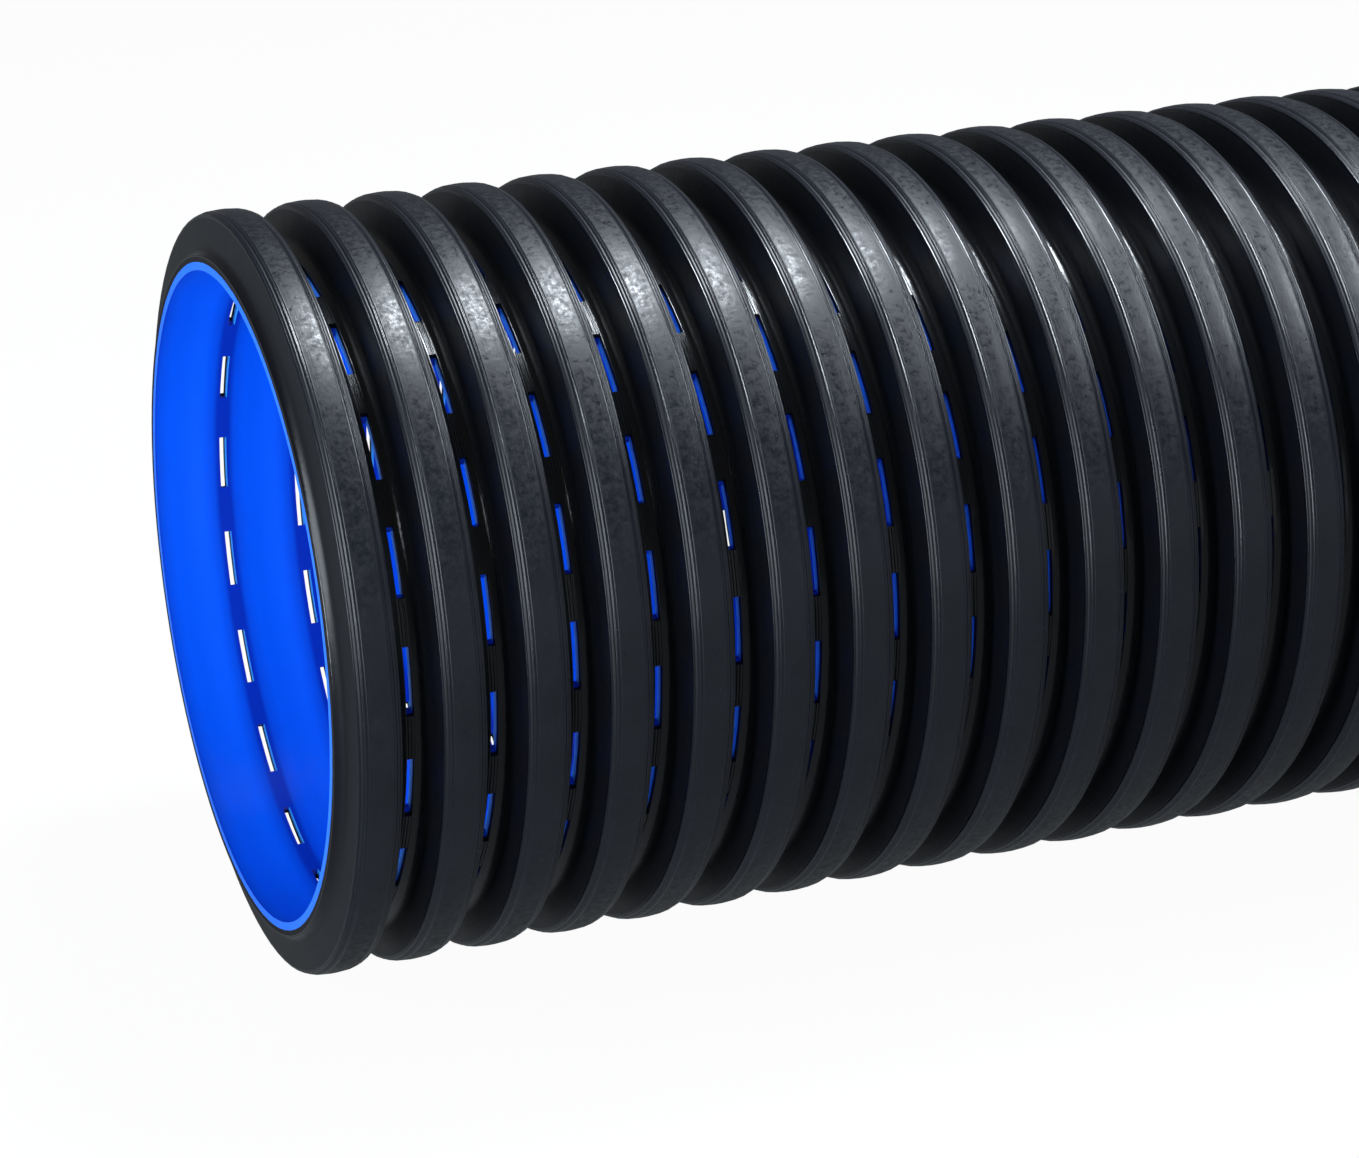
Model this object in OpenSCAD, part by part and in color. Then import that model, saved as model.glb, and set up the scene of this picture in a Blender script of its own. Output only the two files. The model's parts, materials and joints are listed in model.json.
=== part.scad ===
// Twin-wall slotted drainage pipe: a corrugated outer wall with hollow ring ribs,
// welded at its valleys to a smooth liner. Rows of slots are sawn through both walls.
// The axis is X. The near cut end is at x = 0 and the pipe runs towards +X.

/* [Pipe] */
// Inside diameter at the lands of the liner
bore_d = 268; // [240:1:400]
// Number of whole ribs between the two cut ends
rib_count = 30; // [4:1:32]
// Width of the flat valley floor between two ribs, where the slots are sawn
valley_land = 3.25; // [2.5:0.05:14]
// Welded land left between the hollow of the first rib and a cut end
end_land = 1.26; // [0.8:0.02:1.4]

/* [Walls] */
// Thickness of the smooth liner
liner_wall = 3.3; // [2.6:0.1:4.5]
// Thickness of the corrugated sheet
rib_wall = 2.2; // [1.6:0.1:2.8]
// How far the liner swells outwards under each rib
liner_swell = 0.6; // [0.2:0.1:1.2]

/* [Ribs] */
// Height of the crowns above the valley floor
rib_h = 18; // [12:0.5:26]
// Width of a rib at its crown, over both shoulders
crown_w = 17.5; // [14:0.5:18]
// Width of the coved shoulder beside the flat of the crown
shoulder_w = 3; // [1.5:0.1:3.6]
// Drop of that shoulder
shoulder_h = 1.6; // [0.8:0.1:2.4]
// How far the cove of the shoulder is sunk below a straight bevel
shoulder_cove = 0.3; // [0.1:0.05:0.4]
// How far each flank leans out from the shoulder down to the valley
flank_lean = 2; // [1:0.1:2.2]
// Radius of the round between a flank and the valley floor
valley_round = 5; // [3.6:0.1:6]
// Radius of the same round inside the sheet, where it meets the liner
hollow_round = 4; // [3:0.1:4]

/* [Slots] */
// Slots in each valley, evenly spaced
slots_per_valley = 19; // [8:1:20]
// Valleys that the slotting machine cuts in one stroke
rows_per_stroke = 11; // [3:2:15]
// Width of a slot, which is the thickness of the disc that cuts it
slot_w = 3; // [2:0.1:4]
// Length of a slot at the bore
slot_len = 24; // [14:0.2:25]
// Diameter of the disc that plunges in to cut a slot
cutter_d = 28; // [27:0.5:34]
// Turn of the first row of slots about the axis, from straight up
slot_turn = 8; // [0:0.5:18]

/* [Hidden] */
turn_facets = 120;
disc_facets = 48;
round_steps = 5;
shoulder_steps = 3;
swell_steps = 4;
bore_r = bore_d / 2;
weld_r = bore_r + liner_wall;
valley_r = weld_r + rib_wall;
crown_r = valley_r + rib_h;
shoulder_r = crown_r - shoulder_h;
lean_angle = atan2(flank_lean, shoulder_r - valley_r);
// Axial thickness of a flank, whose wall is measured square to its slope
flank_wall = rib_wall / cos(lean_angle);
// Where a rib's outer foot and its hollow end, measured from the middle of the rib
foot_x = round_x(valley_round, valley_r, 0);
hollow_x = round_x(hollow_round, weld_r, flank_wall);
rib_pitch = 2 * foot_x + valley_land;
end_stub = hollow_x + end_land;
pipe_len = rib_pitch * (rib_count - 1) + 2 * end_stub;
// Angle at which the outer round of the first foot meets the cut end
cut_angle = 180 + acos((foot_x - end_stub) / valley_round);
slot_step = 360 / slots_per_valley;
cutter_r = cutter_d / 2;
half_slot = slot_len / 2;
// Radius at which the disc's rim and the bore meet at both ends of a slot
cutter_axis_r = sqrt(pow(bore_r, 2) - pow(half_slot, 2)) + sqrt(pow(cutter_r, 2) - pow(half_slot, 2));

// Half-width of a rib's outer flank at radius r
function flank_x(r) = crown_w / 2 + flank_lean * (shoulder_r - r) / (shoulder_r - valley_r);

// Centre of the round that joins the floor at radius r to the flank face lying inset
// inside the outer one
function round_x(radius, r, inset) = flank_x(r + radius) - inset + radius / cos(lean_angle);

// That round, from the flank down to the angle stop, which is 270 at the floor
function foot_arc(radius, r, inset, stop = 270) = [
  for (i = [0 : round_steps])
    let (a = 180 + lean_angle + (stop - 180 - lean_angle) * i / round_steps)
    [round_x(radius, r, inset) + radius * cos(a), r + radius + radius * sin(a)]
];

// Coved shoulder that falls from radius r at the flat of the crown and ends at edge_x
function shoulder(edge_x, r) = [
  for (i = [0 : shoulder_steps])
    let (u = i / shoulder_steps)
    [edge_x - shoulder_w * (1 - u), r - shoulder_h * u - 4 * shoulder_cove * u * (1 - u)]
];

// Right half of a rib's outer face, from the crown down to the valley or to the cut end
function outer_half(stop = 270) = concat(
  shoulder(crown_w / 2, crown_r),
  foot_arc(valley_round, valley_r, 0, stop)
);

// Right half of the same rib's inner face, one wall thickness inside
function inner_half() = concat(
  shoulder(flank_x(shoulder_r - rib_wall) - flank_wall, crown_r - rib_wall),
  foot_arc(hollow_round, weld_r, flank_wall)
);

// Right half of the liner's swell under one rib, raised above radius r
function swell(r) = [
  for (i = [0 : swell_steps])
    let (u = i / swell_steps)
    [hollow_x * u, r + liner_swell * (1 + cos(180 * u)) / 2]
];

// Left half that mirrors a right half, without a second point at the middle of the rib
function mirrored(half) = [
  for (i = [len(half) - 1 : -1 : half[0][0] == 0 ? 1 : 0]) [-half[i][0], half[i][1]]
];

// One wave for each rib, joined in a line from end to end. The first wave starts and
// the last wave ends with the half given for the cut ends.
function along_pipe(half, end_half) = [
  for (k = [0 : rib_count - 1])
    for (p = concat(mirrored(k == 0 ? end_half : half), k == rib_count - 1 ? end_half : half))
      [end_stub + k * rib_pitch + p[0], p[1]]
];

// One face of the wall or the liner with straight ends at radius r
function to_ends(half, r) = concat([[0, r]], along_pipe(half, half), [[pipe_len, r]]);

function reversed(line) = [for (i = [len(line) - 1 : -1 : 0]) line[i]];

// Turns a section drawn as [place along the axis, radius] about the X axis
module turned(outer_line, inner_line) {
  section = concat(outer_line, reversed(inner_line));
  rotate([0, 90, 0])
    rotate_extrude($fn = turn_facets)
      polygon([for (p = section) [p[1], p[0]]]);
}

// Sawn slots through both walls in the middle of every whole valley. Rows alternate
// by half a slot step within a stroke of the machine, and the next stroke starts afresh.
module slots() {
  for (valley = [0 : rib_count - 2])
    for (i = [0 : slots_per_valley - 1])
      rotate([slot_turn + slot_step * (i + (valley % rows_per_stroke % 2) / 2), 0, 0])
        translate([end_stub + (valley + 0.5) * rib_pitch, 0, cutter_axis_r])
          rotate([0, 90, 0])
            cylinder(h = slot_w, r = cutter_r, center = true, $fn = disc_facets);
}

module corrugated_wall() {
  color([0.13, 0.14, 0.16])
    difference() {
      turned(
        along_pipe(outer_half(), outer_half(cut_angle)),
        to_ends(inner_half(), weld_r)
      );
      slots();
    }
}

module smooth_liner() {
  color([0.06, 0.38, 0.98])
    difference() {
      turned(to_ends(swell(weld_r), weld_r), to_ends(swell(bore_r), bore_r));
      slots();
    }
}

corrugated_wall();
smooth_liner();
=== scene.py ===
import json
import math

import bmesh
import bpy
from mathutils import Matrix, Vector


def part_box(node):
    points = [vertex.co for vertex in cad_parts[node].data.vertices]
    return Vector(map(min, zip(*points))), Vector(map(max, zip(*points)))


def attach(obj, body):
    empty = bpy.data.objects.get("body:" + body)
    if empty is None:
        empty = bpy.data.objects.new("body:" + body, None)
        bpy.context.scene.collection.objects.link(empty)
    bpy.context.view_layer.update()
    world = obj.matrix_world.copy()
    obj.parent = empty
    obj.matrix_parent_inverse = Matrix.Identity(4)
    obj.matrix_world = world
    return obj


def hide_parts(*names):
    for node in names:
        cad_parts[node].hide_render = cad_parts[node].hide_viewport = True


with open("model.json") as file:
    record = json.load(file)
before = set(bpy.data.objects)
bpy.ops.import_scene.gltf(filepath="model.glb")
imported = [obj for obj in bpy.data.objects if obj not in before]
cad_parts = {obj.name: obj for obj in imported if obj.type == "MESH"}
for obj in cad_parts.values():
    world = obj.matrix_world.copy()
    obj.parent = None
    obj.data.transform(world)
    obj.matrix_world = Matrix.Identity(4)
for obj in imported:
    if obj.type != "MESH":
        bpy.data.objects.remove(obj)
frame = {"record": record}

bl_info = {
    "name": "Corrugated drainage pipe",
    "version": (1, 0, 0),
    "blender": (4, 5, 0),
    "location": "View3D > Sidebar > Pipe",
    "description": "Dresses a slotted twin-wall drainage pipe in a plain studio",
    "category": "Object",
}

MM = 0.001
WHITE = (1, 1, 1)
LAMP_COLOUR = (0.86, 0.93, 1.0)
# The lamps: name, place, aim, width and height, and the setting that holds the power.
LAMPS = (
    ("top_softbox", (0.5, 0.2, 1.3), (0.12, -0.06, 0), (0.3, 0.35), "top_light"),
    ("far_lamp", (1.55, -0.2, 1.25), (0.6, -0.1, 0), (0.9, 0.16), "back_light"),
    ("side_strip", (-1.0, -1.1, 0.4), (0.2, -0.1, 0), (0.22, 1.1), "side_light"),
    ("mouth_lamp", (-0.5, -0.2, 0.18), (0.1, 0, -0.03), (0.35, 0.35), "mouth_light"),
    ("front_panel", (1.2, -2.3, 0.35), (0.4, 0, 0), (2.6, 0.9), "front_light"),
)
SENSOR_WIDTH = 36
FLOOR_HALF_WIDTH = 12
FLOOR_GLOW = 0.96
FLOOR_PATCHES = (0.8, 0.8, 0.81)
FLOOR_IN_REFLECTIONS = (0.189, 0.205, 0.22)
SPECK_COLOUR = (0.05, 0.053, 0.06)
# The lines on a crown, by their distance from the rib's middle, and their spacing.
MOULD_LINE_PLACE = 2.6 * MM
SEAM_PLACE = 5.1 * MM
SIDE_LINE_PLACE = 8.5 * MM
TOOL_LINE_SPACING = 1.3 * MM
RADIUS_NOISE_SCALE = 620
POLYPROPYLENE_IOR = 1.5
# How far the hollow's foot moves out where the fillet of the flank meets the weld.
HOLLOW_FOOT_SHIFT = 1.8 * MM
SHARP_ANGLE = math.radians(32)
SHADING_WEIGHT = 80
MERGE_DISTANCE = 1e-6
CUT_DISTANCE = 1e-7
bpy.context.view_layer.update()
WALL_LOW, WALL_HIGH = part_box("corrugated_wall")
MOUNTS = {mount["name"]: mount for mount in frame["record"]["mounts"]}


def mount_radius(name):
    """Radius of one of the record's mounts, in metres."""
    return MOUNTS[name]["dims"]["r_mm"] * MM


def length_property(name, description, millimetres):
    """A length that is given in millimetres and kept in metres."""
    return bpy.props.FloatProperty(
        name=name,
        description=description,
        default=millimetres * MM,
        min=0,
        precision=5,
        unit="LENGTH",
        subtype="DISTANCE",
    )


def colour_property(name, description, colour):
    return bpy.props.FloatVectorProperty(
        name=name,
        description=description,
        default=colour,
        size=3,
        min=0,
        max=1,
        subtype="COLOR",
    )


def factor_property(name, description, value):
    return bpy.props.FloatProperty(
        name=name, description=description, default=value, min=0, max=1, subtype="FACTOR"
    )


def power_property(name, description, watts):
    return bpy.props.FloatProperty(
        name=name, description=description, default=watts, min=0
    )


def count_property(name, description, value):
    return bpy.props.IntProperty(
        name=name, description=description, default=value, min=1
    )


class PipeSizes(bpy.types.PropertyGroup):
    """Section, ribs and slots of the pipe"""

    rib_count: count_property("Ribs", "Whole ribs between the two cut ends", 30)
    end_stub: length_property(
        "End stub", "From a cut end to the middle of its first rib", 13.604
    )
    end_land: length_property(
        "End land", "Welded land between the first rib's hollow and the cut end", 1.26
    )
    liner_wall: length_property("Liner wall", "Thickness of the liner", 3.3)
    rib_wall: length_property("Rib wall", "Thickness of the corrugated sheet", 2.2)
    liner_swell: length_property(
        "Liner swell", "How far the liner swells out under each rib", 0.6
    )
    crown_width: length_property(
        "Crown width", "Width of a rib over both shoulders", 17.5
    )
    shoulder_width: length_property("Shoulder width", "Width of the coved shoulder", 3)
    shoulder_drop: length_property("Shoulder drop", "Drop of the coved shoulder", 1.6)
    shoulder_cove: length_property("Shoulder cove", "Depth of the cove", 0.3)
    flank_lean: length_property("Flank lean", "How far a flank leans out", 2)
    valley_round: length_property(
        "Valley round", "Radius between a flank and the valley floor", 5
    )
    crown_rise: length_property(
        "Crown rise", "Rise of a crown's middle over its edges", 0.45
    )
    edge_round: length_property(
        "Edge round", "Where the rounding of the shoulder's outer edge starts", 0.7
    )
    rim_round: length_property(
        "Rim round", "Where the rounding at the flat of the crown starts", 0.45
    )
    slots_per_valley: count_property("Slots", "Slots in each valley", 19)
    rows_per_stroke: count_property(
        "Rows in a stroke", "Valleys that the slotting machine cuts in one stroke", 11
    )
    slot_width: length_property("Slot width", "Thickness of the slotting disc", 3)
    slot_length: length_property("Slot length", "Length of a slot at the bore", 24)
    disc_diameter: length_property("Disc", "Diameter of the slotting disc", 28)
    slot_turn: bpy.props.FloatProperty(
        name="First slot",
        description="Turn of the first row of slots from straight up",
        default=math.radians(8),
        unit="ROTATION",
        subtype="ANGLE",
    )
    facets: count_property("Facets", "Facets round the pipe", 92)
    disc_facets: count_property("Disc facets", "Facets round a slotting disc", 40)


class PipeFinish(bpy.types.PropertyGroup):
    """Colours and gloss of the two walls"""

    wall_colour: colour_property(
        "Wall colour", "Carbon-black polypropylene", (0.0032, 0.0040, 0.0066)
    )
    # Painted sheen: the crowns are painted greyer and bluer than the valleys, as if
    # catching light; real scuffs take the same grey.
    sheen_and_scuff_colour: colour_property(
        "Wall bloom", "Greyer bloom on the crowns", (0.0100, 0.0122, 0.0195)
    )
    wall_roughness: factor_property("Wall roughness", "Roughness of the crowns", 0.42)
    valley_roughness: factor_property(
        "Valley roughness", "Roughness of the valley floors", 0.2
    )
    liner_colour: colour_property("Liner colour", "Blue liner", (0.001, 0.125, 0.96))
    # Painted shade: a darker blue laid along the slot lines and over the lands, also used
    # for random mottle.
    liner_shade_and_mottle_blue: colour_property(
        "Liner deep colour", "Blue along the slot lines", (0.001, 0.034, 0.48)
    )
    # Painted light: the sawn faces sit in shadow inside the slots and are painted a
    # brighter blue.
    liner_sawn_painted_light: colour_property(
        "Liner cut colour", "Blue of the sawn slots", (0.03, 0.38, 1.0)
    )
    liner_rim: colour_property(
        "Liner rim colour", "Blue of the cut end", (0.012, 0.18, 1.0)
    )
    liner_roughness: factor_property("Liner roughness", "Roughness of the liner", 0.33)


class StudioSettings(bpy.types.PropertyGroup):
    """Camera, lamps and floor"""

    camera_place: bpy.props.FloatVectorProperty(
        name="Camera",
        description="Where the camera stands",
        default=(-0.3469, -1.3937, 0.6007),
        size=3,
        subtype="TRANSLATION",
    )
    camera_aim: bpy.props.FloatVectorProperty(
        name="Aim",
        description="Where the camera looks",
        default=(0.1939, 0.0, -0.0210),
        size=3,
        subtype="TRANSLATION",
    )
    camera_lens: bpy.props.FloatProperty(
        name="Lens",
        description="Focal length on a sensor 36 mm wide",
        default=100.4,
        min=1,
    )
    top_light: power_property("Top light", "Power of the top softbox in watts", 20)
    back_light: power_property("Back light", "Power of the far lamp in watts", 25)
    side_light: power_property("Side light", "Power of the side strip in watts", 16)
    mouth_light: power_property("Mouth light", "Power of the mouth lamp in watts", 2)
    front_light: power_property(
        "Front light", "Power of the front panel in watts", 2.5
    )
    ambient: factor_property("Ambient", "Strength of the grey surround", 0.09)
    floor_colour: colour_property("Floor colour", "Pale floor", (0.86, 0.86, 0.87))


class Value:
    """A shader socket that Python expressions work on."""

    def __init__(self, finish, socket):
        self.finish = finish
        self.socket = socket

    def math(self, operation, *others):
        return self.finish.node(
            "ShaderNodeMath",
            {"operation": operation},
            dict(enumerate((self, *others))),
        )

    def __add__(self, other):
        return self.math("ADD", other)

    __radd__ = __add__

    def __mul__(self, other):
        return self.math("MULTIPLY", other)

    def __sub__(self, other):
        return self.math("SUBTRACT", other)

    def __rsub__(self, other):
        return self.finish.node(
            "ShaderNodeMath", {"operation": "SUBTRACT"}, {0: other, 1: self}
        )

    def __truediv__(self, other):
        return self.math("DIVIDE", other)

    def __pow__(self, power):
        return self.math("POWER", power)

    def __abs__(self):
        return self.math("ABSOLUTE")

    def fract(self):
        return self.math("FRACT")

    def ramp(self, start, end):
        """0 before start and 1 after end, with a smooth step between them."""
        return self.finish.node(
            "ShaderNodeMapRange",
            {"interpolation_type": "SMOOTHSTEP"},
            {"Value": self, "From Min": start, "From Max": end},
        )

    def band(self, middle, full, gone):
        """1 up to full away from the middle, and 0 from gone away."""
        return 1 - abs(self - middle).ramp(full, gone)

    def waves(self, spacing):
        """Cosine waves that repeat at the spacing."""
        return (self * (math.tau / spacing)).math("COSINE")


class Finish:
    """A procedural material while it is being built."""

    def __init__(self, name, tree=None):
        if tree is None:
            self.material = bpy.data.materials.new(name)
            self.material.use_nodes = True
            tree = self.material.node_tree
        self.tree = tree
        self.tree.nodes.clear()

    def node(self, kind, settings, inputs, output=0):
        """Adds a node, sets its settings and then its inputs, and gives one output."""
        node = self.tree.nodes.new(kind)
        for key, setting in settings.items():
            setattr(node, key, setting)
        for key, value in inputs.items():
            if isinstance(value, Value):
                self.tree.links.new(value.socket, node.inputs[key])
            else:
                node.inputs[key].default_value = value
        return Value(self, node.outputs[output]) if node.outputs else None

    def place(self):
        """The shaded point as a vector, in metres."""
        return self.node("ShaderNodeTexCoord", {}, {}, "Object")

    def ray(self, kind):
        """1 for one kind of ray and 0 for all others."""
        return self.node("ShaderNodeLightPath", {}, {}, f"Is {kind} Ray")

    def seen_by_camera(self):
        """1 for a ray from the camera, straight or through a clear surface."""
        return self.ray("Camera").math("MAXIMUM", self.ray("Transmission"))

    def axes(self, vector):
        """X, Y and Z of a vector."""
        split = self.node("ShaderNodeSeparateXYZ", {}, {"Vector": vector})
        return [Value(self, socket) for socket in split.socket.node.outputs]

    def stretched(self, vector, scale):
        return self.node("ShaderNodeMapping", {}, {"Vector": vector, "Scale": scale})

    def noise(self, vector, scale=1.0, detail=3.0, rough=0.5):
        return self.node(
            "ShaderNodeTexNoise",
            {},
            {"Vector": vector, "Scale": scale, "Detail": detail, "Roughness": rough},
            "Fac",
        )

    def cells(self, vector, scale):
        """Distance to the nearest of many scattered points."""
        return self.node(
            "ShaderNodeTexVoronoi",
            {"feature": "F1"},
            {"Vector": vector, "Scale": scale, "Randomness": 1.0},
            "Distance",
        )

    def mix(self, factor, first, second):
        """Colour between two colours."""
        return self.node(
            "ShaderNodeMix",
            {"data_type": "RGBA"},
            {"Factor": factor, 6: opaque(first), 7: opaque(second)},
            2,
        )

    def bump(self, height, distance, strength=1.0, below=None):
        inputs = {"Height": height, "Distance": distance, "Strength": strength}
        if below is not None:
            inputs["Normal"] = below
        return self.node("ShaderNodeBump", {}, inputs, "Normal")

    def plastic(self, colour, roughness, normal, specular):
        """Closes the material as a plain polypropylene."""
        shader = self.node(
            "ShaderNodeBsdfPrincipled",
            {},
            {
                "Base Color": colour,
                "Roughness": roughness,
                "Normal": normal,
                "IOR": POLYPROPYLENE_IOR,
                "Specular IOR Level": specular,
            },
            "BSDF",
        )
        self.node("ShaderNodeOutputMaterial", {}, {"Surface": shader})
        return self.material


def opaque(colour):
    return colour if isinstance(colour, Value) else (*colour, 1.0)


def pipe_place(finish, sizes):
    """The shaded point, its X, its radius and how far along X the nearest rib is."""
    place = finish.place()
    x, y, z = finish.axes(place)
    turns = (x - sizes.end_stub) / rib_pitch(sizes) + 0.5
    from_rib = abs(turns.fract() - 0.5) * rib_pitch(sizes)
    return place, x, (y * y + z * z) ** 0.5, from_rib


def wall_finish(sizes, look):
    """Black polypropylene: matte crowns with mould lines, and glossier valleys."""
    finish = Finish("black_polypropylene")
    place, _, radius, from_rib = pipe_place(finish, sizes)
    to_slot = rib_pitch(sizes) / 2 - from_rib
    crown_at, valley_at = crown_radius(), valley_radius(sizes)
    outer_line = sizes.crown_width / 2
    inner_line = outer_line - sizes.shoulder_width

    # Parts of the wall: each is 1 on its part and 0 off it.
    crown = radius.ramp(crown_at - 2.4 * MM, crown_at - 1.2 * MM)
    shoulder = radius.ramp(crown_at - 3.2 * MM, crown_at - 2.6 * MM)
    side = from_rib.ramp(4.2 * MM, 4.8 * MM) * shoulder
    top = crown * (1 - side)
    edge = shoulder * (
        from_rib.band(inner_line, 0.6 * MM, 1.0 * MM)
        + from_rib.band(outer_line, 0.6 * MM, 1.0 * MM)
    )
    valley = 1 - radius.ramp(valley_at + 0.4 * MM, valley_at + 3 * MM)
    weld = valley * (1 - to_slot.ramp(1.6 * MM, 2.2 * MM))
    sheet = radius.ramp(valley_at - 0.3 * MM, valley_at - 0.1 * MM)

    # Patterns in the plastic.
    rings = finish.noise(finish.stretched(place, (700, 3.5, 3.5)), rough=0.6)
    scuffs = finish.noise(finish.stretched(place, (160, 26, 26)), detail=5.0, rough=0.7)
    turned = finish.node("ShaderNodeCombineXYZ", {}, {"X": radius * RADIUS_NOISE_SCALE})
    flank_rings = finish.noise(turned, rough=0.6)
    mottle = finish.noise(place, scale=48.0, detail=4.0, rough=0.62)
    peel = finish.noise(place, scale=330.0, rough=0.6)
    blotch = finish.noise(place, scale=760.0, detail=2.0, rough=0.7)
    grain = finish.noise(place, scale=1100.0, detail=2.0)
    specks = 1 - finish.cells(place, scale=190.0).ramp(0.03, 0.07)
    seam = from_rib.band(SEAM_PLACE, 0.08 * MM, 0.22 * MM)
    mould = from_rib.band(MOULD_LINE_PLACE, 0.05 * MM, 0.16 * MM)
    lines = (seam * 0.8 + mould * 0.35) * crown
    weld_lines = to_slot.waves(TOOL_LINE_SPACING) * weld
    side_lines = (from_rib - SIDE_LINE_PLACE).waves(TOOL_LINE_SPACING) * side

    # Painted sheen: the whole crown is painted greyer, with random mottle in it, and
    # scuffs add grey wear anywhere.
    crown_sheen_and_scuffs = crown * (0.35 + mottle.ramp(0.3, 0.75) * 0.25) + scuffs.ramp(0.62, 0.8) * 0.2
    colour = finish.mix(crown_sheen_and_scuffs, look.wall_colour, look.sheen_and_scuff_colour)
    colour = finish.mix(specks * 0.5, colour, SPECK_COLOUR)
    roughness = (
        look.valley_roughness
        + (1 - valley) * (look.wall_roughness - look.valley_roughness)
        + (mottle - 0.5) * 0.08
        + ((peel - 0.5) * 0.6 + (blotch - 0.5) * 0.45) * top
        - edge * 0.16
        + (scuffs - 0.5) * 0.12
        + (1 - sheet) * 0.7
    )
    moulded = rings * (crown * 0.6 + valley) - lines * 0.7 + flank_rings * 2.0
    normal = finish.bump(moulded, 0.06 * MM)
    normal = finish.bump(weld_lines + side_lines * 2.2, 0.045 * MM, below=normal)
    normal = finish.bump(mottle, 0.5 * MM, 0.4, below=normal)
    normal = finish.bump(peel * (1 - side * 0.8), 0.085 * MM, 0.9, below=normal)
    normal = finish.bump(grain, 0.012 * MM, below=normal)
    return finish.plastic(colour, roughness, normal, specular=0.5)


def liner_finish(sizes, look):
    """Blue polypropylene: glossy, with painted shade along the slot lines and a painted
    highlight on the sawn faces.
    """
    finish = Finish("blue_polypropylene")
    place, x, radius, from_rib = pipe_place(finish, sizes)
    to_slot = rib_pitch(sizes) / 2 - from_rib
    facing = finish.node("ShaderNodeNewGeometry", {}, {}, "True Normal")

    # Parts of the liner: each is 1 on its part and 0 off it.
    inside = 1 - radius.ramp(bore_radius() + 0.8 * MM, bore_radius() + 1.6 * MM)
    slot_line = 1 - to_slot.ramp(1.2 * MM, 5 * MM)
    land = 1 - to_slot.ramp(2 * MM, 11 * MM)
    sawn = abs(finish.axes(facing)[0]).ramp(0.6, 0.9)
    rim = 1 - x.ramp(0.6 * MM, 1.5 * MM)

    streaks = finish.noise(finish.stretched(place, (260, 4, 4)))
    mottle = finish.noise(place, scale=22.0)
    # Painted shade along the slot lines and over the lands, with random mottle on top.
    painted_shade_and_mottle = slot_line * inside * 0.7 + land * 0.5 + (mottle - 0.5) * 0.45
    colour = finish.mix(painted_shade_and_mottle, look.liner_colour, look.liner_shade_and_mottle_blue)
    # Painted light: the sawn faces are painted a brighter blue, as if lit.
    colour = finish.mix(sawn, colour, look.liner_sawn_painted_light)
    colour = finish.mix(sawn * rim, colour, look.liner_rim)
    roughness = look.liner_roughness + (mottle - 0.5) * 0.15 + sawn * 0.2
    normal = finish.bump(streaks, 0.03 * MM)
    normal = finish.bump(mottle, 0.5 * MM, 0.4, below=normal)
    return finish.plastic(colour, roughness, normal, specular=0.4)


def bore_radius():
    return mount_radius("bore")


def crown_radius():
    """Outer radius, kept inside the packed wall's own box."""
    return min(mount_radius("outer_crowns"), WALL_HIGH[1], WALL_HIGH[2])


def weld_radius(sizes):
    return bore_radius() + sizes.liner_wall


def valley_radius(sizes):
    return weld_radius(sizes) + sizes.rib_wall


def rib_pitch(sizes):
    return (WALL_HIGH[0] - 2 * sizes.end_stub) / (sizes.rib_count - 1)


def rib_middles(sizes):
    return [sizes.end_stub + k * rib_pitch(sizes) for k in range(sizes.rib_count)]


def draw_section(bm, points):
    """A closed line of points given as (place along the axis, radius)."""
    line = [bm.verts.new((x, 0, radius)) for x, radius in points]
    for first, second in zip(line, line[1:] + line[:1]):
        bm.edges.new((first, second))
    return line


def round_corners(bm, corners, reach, segments):
    """Rounds corners of the drawn section, from reach away on both of their lines."""
    bmesh.ops.bevel(
        bm,
        geom=corners,
        offset=reach,
        offset_type="OFFSET",
        affect="VERTICES",
        segments=segments,
        profile=0.5,
        material=-1,
    )


def cut_ends(bm, length):
    """Cuts the drawn section off square at both ends and closes it again."""
    for place, outward in ((0, -1), (length, 1)):
        bmesh.ops.bisect_plane(
            bm,
            geom=bm.verts[:] + bm.edges[:],
            dist=CUT_DISTANCE,
            plane_co=(place, 0, 0),
            plane_no=(outward, 0, 0),
            clear_outer=True,
        )
        ends = [v for v in bm.verts if len(v.link_edges) == 1]
        if len(ends) != 2:
            raise RuntimeError(f"the cut end has {len(ends)} loose points, not 2")
        bm.edges.new(ends)


def turn_section(bm, facets):
    """Turns the drawn section about the pipe's axis into a closed wall."""
    bmesh.ops.spin(
        bm,
        geom=bm.verts[:] + bm.edges[:],
        cent=(0, 0, 0),
        axis=(1, 0, 0),
        angle=math.tau,
        steps=facets,
        use_merge=True,
    )
    bmesh.ops.remove_doubles(bm, verts=bm.verts[:], dist=MERGE_DISTANCE)
    bmesh.ops.recalc_face_normals(bm, faces=bm.faces[:])


def to_object(bm, name):
    mesh = bpy.data.meshes.new(name)
    bm.to_mesh(mesh)
    bm.free()
    piece = bpy.data.objects.new(name, mesh)
    bpy.context.scene.collection.objects.link(piece)
    return piece


def slot_places(sizes):
    """Place along the axis and turn of each slot."""
    step = math.tau / sizes.slots_per_valley
    for valley, middle in enumerate(rib_middles(sizes)[:-1]):
        shift = (valley % sizes.rows_per_stroke % 2) / 2
        for i in range(sizes.slots_per_valley):
            yield middle + rib_pitch(sizes) / 2, sizes.slot_turn + step * (i + shift)


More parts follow.
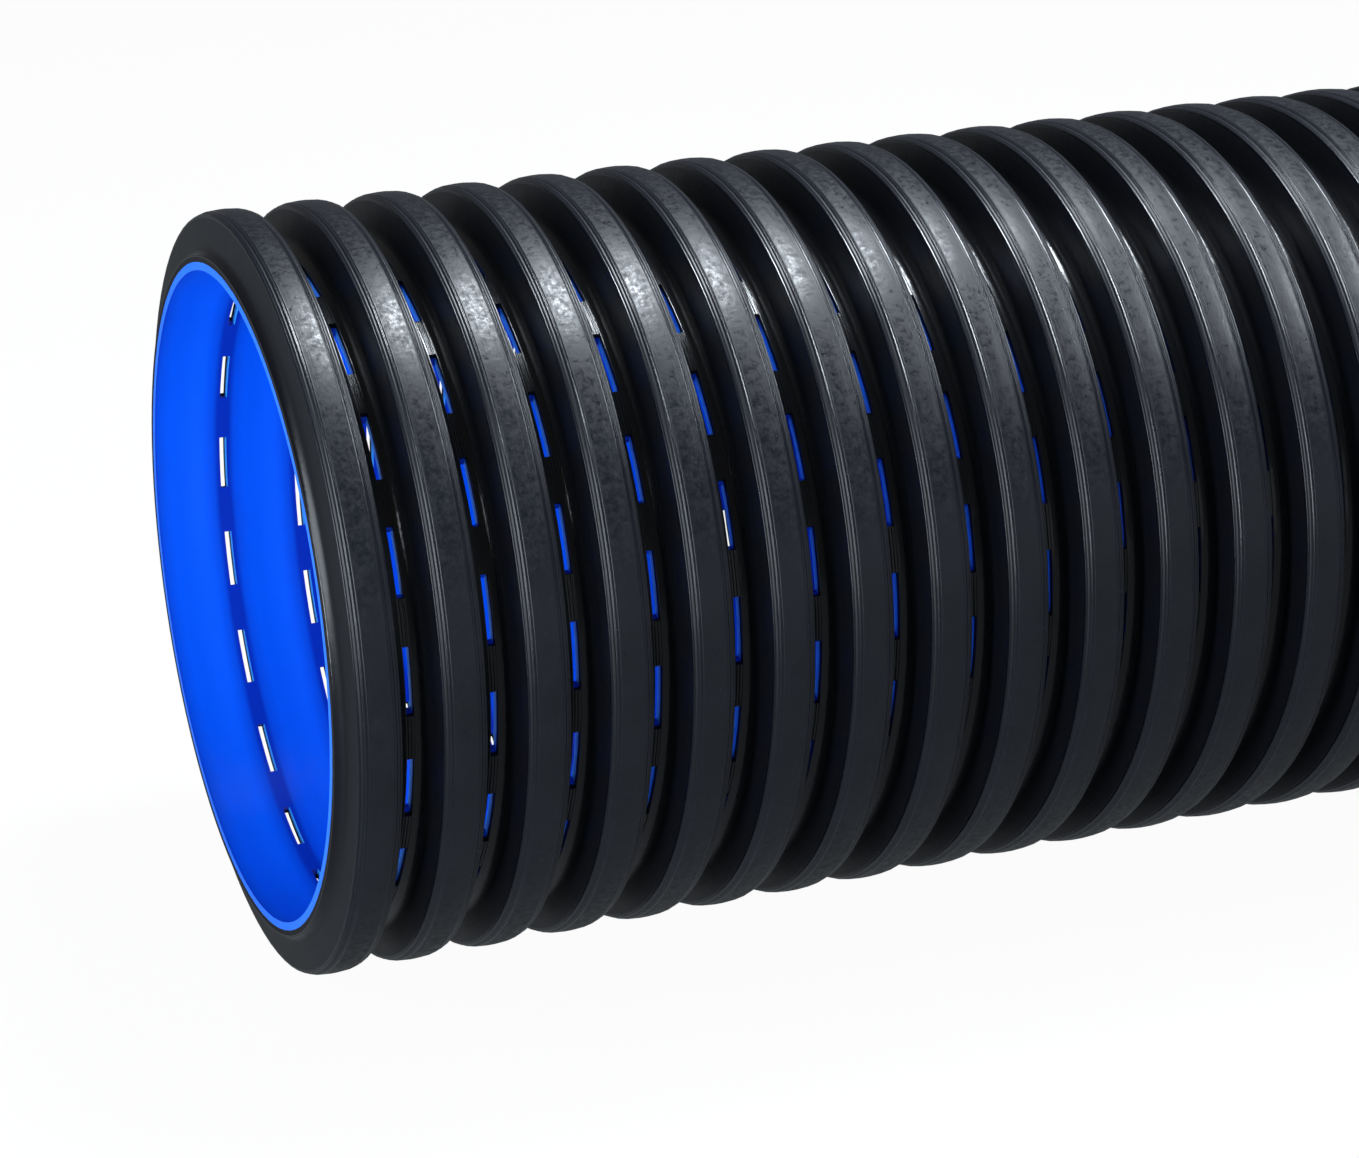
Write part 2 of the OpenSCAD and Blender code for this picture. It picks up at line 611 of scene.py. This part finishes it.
def slotting_discs(sizes):
    """All the discs that saw the slots, as one object that is used up by saw_slots."""
    disc = sizes.disc_diameter / 2
    half = sizes.slot_length / 2
    axis_radius = math.sqrt(bore_radius() ** 2 - half**2) + math.sqrt(disc**2 - half**2)
    upright = Matrix.Rotation(math.pi / 2, 4, "Y")
    bm = bmesh.new()
    for x, turn in slot_places(sizes):
        bmesh.ops.create_cone(
            bm,
            cap_ends=True,
            segments=sizes.disc_facets,
            radius1=disc,
            radius2=disc,
            depth=sizes.slot_width,
            matrix=Matrix.Rotation(turn, 4, "X")
            @ Matrix.Translation((x, 0, axis_radius))
            @ upright,
        )
    return to_object(bm, "slotting_discs")


def saw_slots(piece, sizes):
    """Saws all slots through the piece and checks that it came through whole."""
    discs = slotting_discs(sizes)
    cut = piece.modifiers.new("slots", "BOOLEAN")
    cut.operation = "DIFFERENCE"
    cut.solver = "MANIFOLD"
    cut.object = discs
    bpy.context.view_layer.update()
    sawn = bpy.data.meshes.new_from_object(
        piece.evaluated_get(bpy.context.evaluated_depsgraph_get())
    )
    piece.modifiers.clear()
    whole, piece.data = piece.data, sawn
    bpy.data.meshes.remove(whole)
    bpy.data.objects.remove(discs)
    if len(sawn.polygons) < sizes.slots_per_valley * sizes.rib_count:
        raise RuntimeError(f"{piece.name} was lost while its slots were sawn")


def finish_piece(piece, material, node):
    """Shades the piece, gives it its material and puts it in its node's place."""
    piece.data.shade_smooth()
    piece.data.set_sharp_from_angle(angle=SHARP_ANGLE)
    piece.data.materials.clear()
    piece.data.materials.append(material)
    weighted = piece.modifiers.new("even_shading", "WEIGHTED_NORMAL")
    weighted.keep_sharp = True
    weighted.weight = SHADING_WEIGHT
    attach(piece, "root")
    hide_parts(node)


def draw_wall(bm, sizes):
    """The wall's closed section, with its outer corners rounded."""
    land, weld = valley_radius(sizes), weld_radius(sizes)
    crown, half = crown_radius(), sizes.crown_width / 2
    shoulder = crown - sizes.shoulder_drop
    foot = half + sizes.flank_lean
    lean = math.atan2(sizes.flank_lean, shoulder - land)
    side = sizes.rib_wall / math.cos(lean)
    half_rib = [
        (foot, land),
        (half, shoulder),
        (
            half - sizes.shoulder_width / 2,
            crown - sizes.shoulder_drop / 2 - sizes.shoulder_cove,
        ),
        (half - sizes.shoulder_width, crown - sizes.crown_rise),
    ]
    half_hollow = [
        (foot - side + HOLLOW_FOOT_SHIFT, weld),
        (half - side, crown - sizes.rib_wall),
    ]
    length, past = WALL_HIGH[0], rib_pitch(sizes) / 2 - sizes.end_stub
    outer, inner, feet, edges, rims = [(-past, land)], [(-past, weld)], [], [], []
    for middle in rib_middles(sizes):
        first = len(outer)
        last = first + 2 * len(half_rib)
        feet += [first, last]
        edges += [first + 1, last - 1]
        rims += [first + 3, last - 3]
        outer += [(middle - x, radius) for x, radius in half_rib]
        outer += [(middle, crown)]
        outer += [(middle + x, radius) for x, radius in reversed(half_rib)]
        inner += [(middle - x, radius) for x, radius in half_hollow]
        inner += [(middle + x, radius) for x, radius in reversed(half_hollow)]
    outer.append((length + past, land))
    inner.append((length + past, weld))
    line = draw_section(bm, outer + inner[::-1])
    foot_reach = sizes.valley_round * math.tan((math.pi / 2 - lean) / 2)
    for corners, reach, segments in (
        (feet, foot_reach, 3),
        (edges, sizes.edge_round, 3),
        (rims, sizes.rim_round, 2),
    ):
        round_corners(bm, [line[i] for i in corners], reach, segments)
    cut_ends(bm, length)


class PIPE_OT_corrugated_wall(bpy.types.Operator):
    """Turns the corrugated outer wall and saws its slots"""

    bl_idname = "pipe.corrugated_wall"
    bl_label = "Corrugated wall"

    def execute(self, context):
        sizes = context.scene.pipe_sizes
        bm = bmesh.new()
        draw_wall(bm, sizes)
        turn_section(bm, sizes.facets)
        piece = to_object(bm, "corrugated_wall_skin")
        saw_slots(piece, sizes)
        finish_piece(
            piece,
            wall_finish(sizes, context.scene.pipe_finish),
            "corrugated_wall",
        )
        return {"FINISHED"}


def liner_wave(sizes, radius, steps):
    """One face of the liner from end to end, with its swell under each rib."""
    reach = sizes.end_stub - sizes.end_land
    line = [(0, radius)]
    for middle in rib_middles(sizes):
        for i in range(steps + 1):
            u = 2 * i / steps - 1
            rise = sizes.liner_swell * (1 + math.cos(math.pi * u)) / 2
            line.append((middle + reach * u, radius + rise))
    return [*line, (WALL_HIGH[0], radius)]


class PIPE_OT_smooth_liner(bpy.types.Operator):
    """Turns the wavy liner and saws its slots"""

    bl_idname = "pipe.smooth_liner"
    bl_label = "Smooth liner"

    def execute(self, context):
        sizes = context.scene.pipe_sizes
        bm = bmesh.new()
        outer = liner_wave(sizes, weld_radius(sizes), 4)
        inner = liner_wave(sizes, bore_radius(), 8)
        draw_section(bm, outer + inner[::-1])
        turn_section(bm, sizes.facets)
        piece = to_object(bm, "smooth_liner_skin")
        saw_slots(piece, sizes)
        finish_piece(
            piece,
            liner_finish(sizes, context.scene.pipe_finish),
            "smooth_liner",
        )
        return {"FINISHED"}


def stand(name, data, place, aim):
    """Adds a camera or a lamp that looks from its place to its aim."""
    item = bpy.data.objects.new(name, data)
    item.location = place
    item.rotation_euler = (Vector(aim) - Vector(place)).to_track_quat("-Z", "Y").to_euler()
    bpy.context.scene.collection.objects.link(item)
    return item


def area_light(name, size, watts):
    light = bpy.data.lights.new(name, "AREA")
    light.shape = "RECTANGLE"
    light.size, light.size_y = size
    light.energy = watts
    light.color = LAMP_COLOUR
    return light


def floor_finish(colour):
    """Pale floor: white to the camera, dim in reflections, with the pipe's shadow."""
    finish = Finish("pale_floor")
    glossy = finish.ray("Glossy")
    glowing = (finish.seen_by_camera() * FLOOR_GLOW).math("MAXIMUM", glossy)
    glow_colour = finish.mix(glossy, WHITE, FLOOR_IN_REFLECTIONS)
    patches = finish.noise(finish.place(), scale=3.0) * 0.06
    tint = finish.mix(patches, colour, FLOOR_PATCHES)
    matte = finish.node("ShaderNodeBsdfDiffuse", {}, {"Color": tint})
    glow = finish.node(
        "ShaderNodeEmission", {}, {"Color": glow_colour, "Strength": 1.0}
    )
    both = finish.node("ShaderNodeMixShader", {}, {0: glowing, 1: matte, 2: glow})
    finish.node("ShaderNodeOutputMaterial", {}, {"Surface": both})
    return finish.material


def paint_world(ambient):
    """White to the camera, and a plain grey surround in reflections and for light."""
    world = bpy.data.worlds.new("studio")
    world.use_nodes = True
    bpy.context.scene.world = world
    finish = Finish("studio", world.node_tree)
    grey, white = (
        finish.node(
            "ShaderNodeBackground", {}, {"Color": opaque(WHITE), "Strength": strength}
        )
        for strength in (ambient, 1.0)
    )
    both = finish.node(
        "ShaderNodeMixShader", {}, {0: finish.seen_by_camera(), 1: grey, 2: white}
    )
    finish.node("ShaderNodeOutputWorld", {}, {"Surface": both})


class PIPE_OT_studio(bpy.types.Operator):
    """Sets up the camera, the lamps and the pale floor"""

    bl_idname = "pipe.studio"
    bl_label = "Studio"

    def execute(self, context):
        scene, studio = context.scene, context.scene.pipe_studio
        camera = bpy.data.cameras.new("camera")
        camera.sensor_fit = "HORIZONTAL"
        camera.sensor_width = SENSOR_WIDTH
        camera.lens = studio.camera_lens
        scene.camera = stand("camera", camera, studio.camera_place, studio.camera_aim)
        for name, place, aim, size, power in LAMPS:
            stand(name, area_light(name, size, getattr(studio, power)), place, aim)
        bm = bmesh.new()
        bmesh.ops.create_grid(
            bm,
            x_segments=1,
            y_segments=1,
            size=FLOOR_HALF_WIDTH,
            matrix=Matrix.Translation((0, 0, WALL_LOW[2])),
        )
        floor = to_object(bm, "floor")
        floor.data.materials.append(floor_finish(studio.floor_colour))
        paint_world(studio.ambient)
        scene.view_settings.view_transform = "Standard"
        return {"FINISHED"}


class PIPE_PT_panel(bpy.types.Panel):
    """Lists the pipe's pieces and their sizes"""

    bl_label = "Drainage pipe"
    bl_idname = "PIPE_PT_panel"
    bl_space_type = "VIEW_3D"
    bl_region_type = "UI"
    bl_category = "Pipe"

    def draw(self, context):
        for operator in OPERATORS:
            self.layout.operator(operator.bl_idname)
        for group in SETTINGS:
            settings = getattr(context.scene, group)
            box = self.layout.box()
            box.label(text=type(settings).__doc__)
            for name in settings.bl_rna.properties.keys():
                if name not in ("name", "rna_type"):
                    box.prop(settings, name)


SETTINGS = {
    "pipe_sizes": PipeSizes,
    "pipe_finish": PipeFinish,
    "pipe_studio": StudioSettings,
}
OPERATORS = (PIPE_OT_corrugated_wall, PIPE_OT_smooth_liner, PIPE_OT_studio)
CLASSES = (*SETTINGS.values(), *OPERATORS, PIPE_PT_panel)


def register():
    for cls in CLASSES:
        bpy.utils.register_class(cls)
    for name, group in SETTINGS.items():
        setattr(bpy.types.Scene, name, bpy.props.PointerProperty(type=group))


def unregister():
    for name in SETTINGS:
        delattr(bpy.types.Scene, name)
    for cls in reversed(CLASSES):
        bpy.utils.unregister_class(cls)


def main():
    register()
    bpy.ops.pipe.corrugated_wall()
    bpy.ops.pipe.smooth_liner()
    bpy.ops.pipe.studio()
    bpy.context.view_layer.update()


if __name__ == "__main__":
    main()
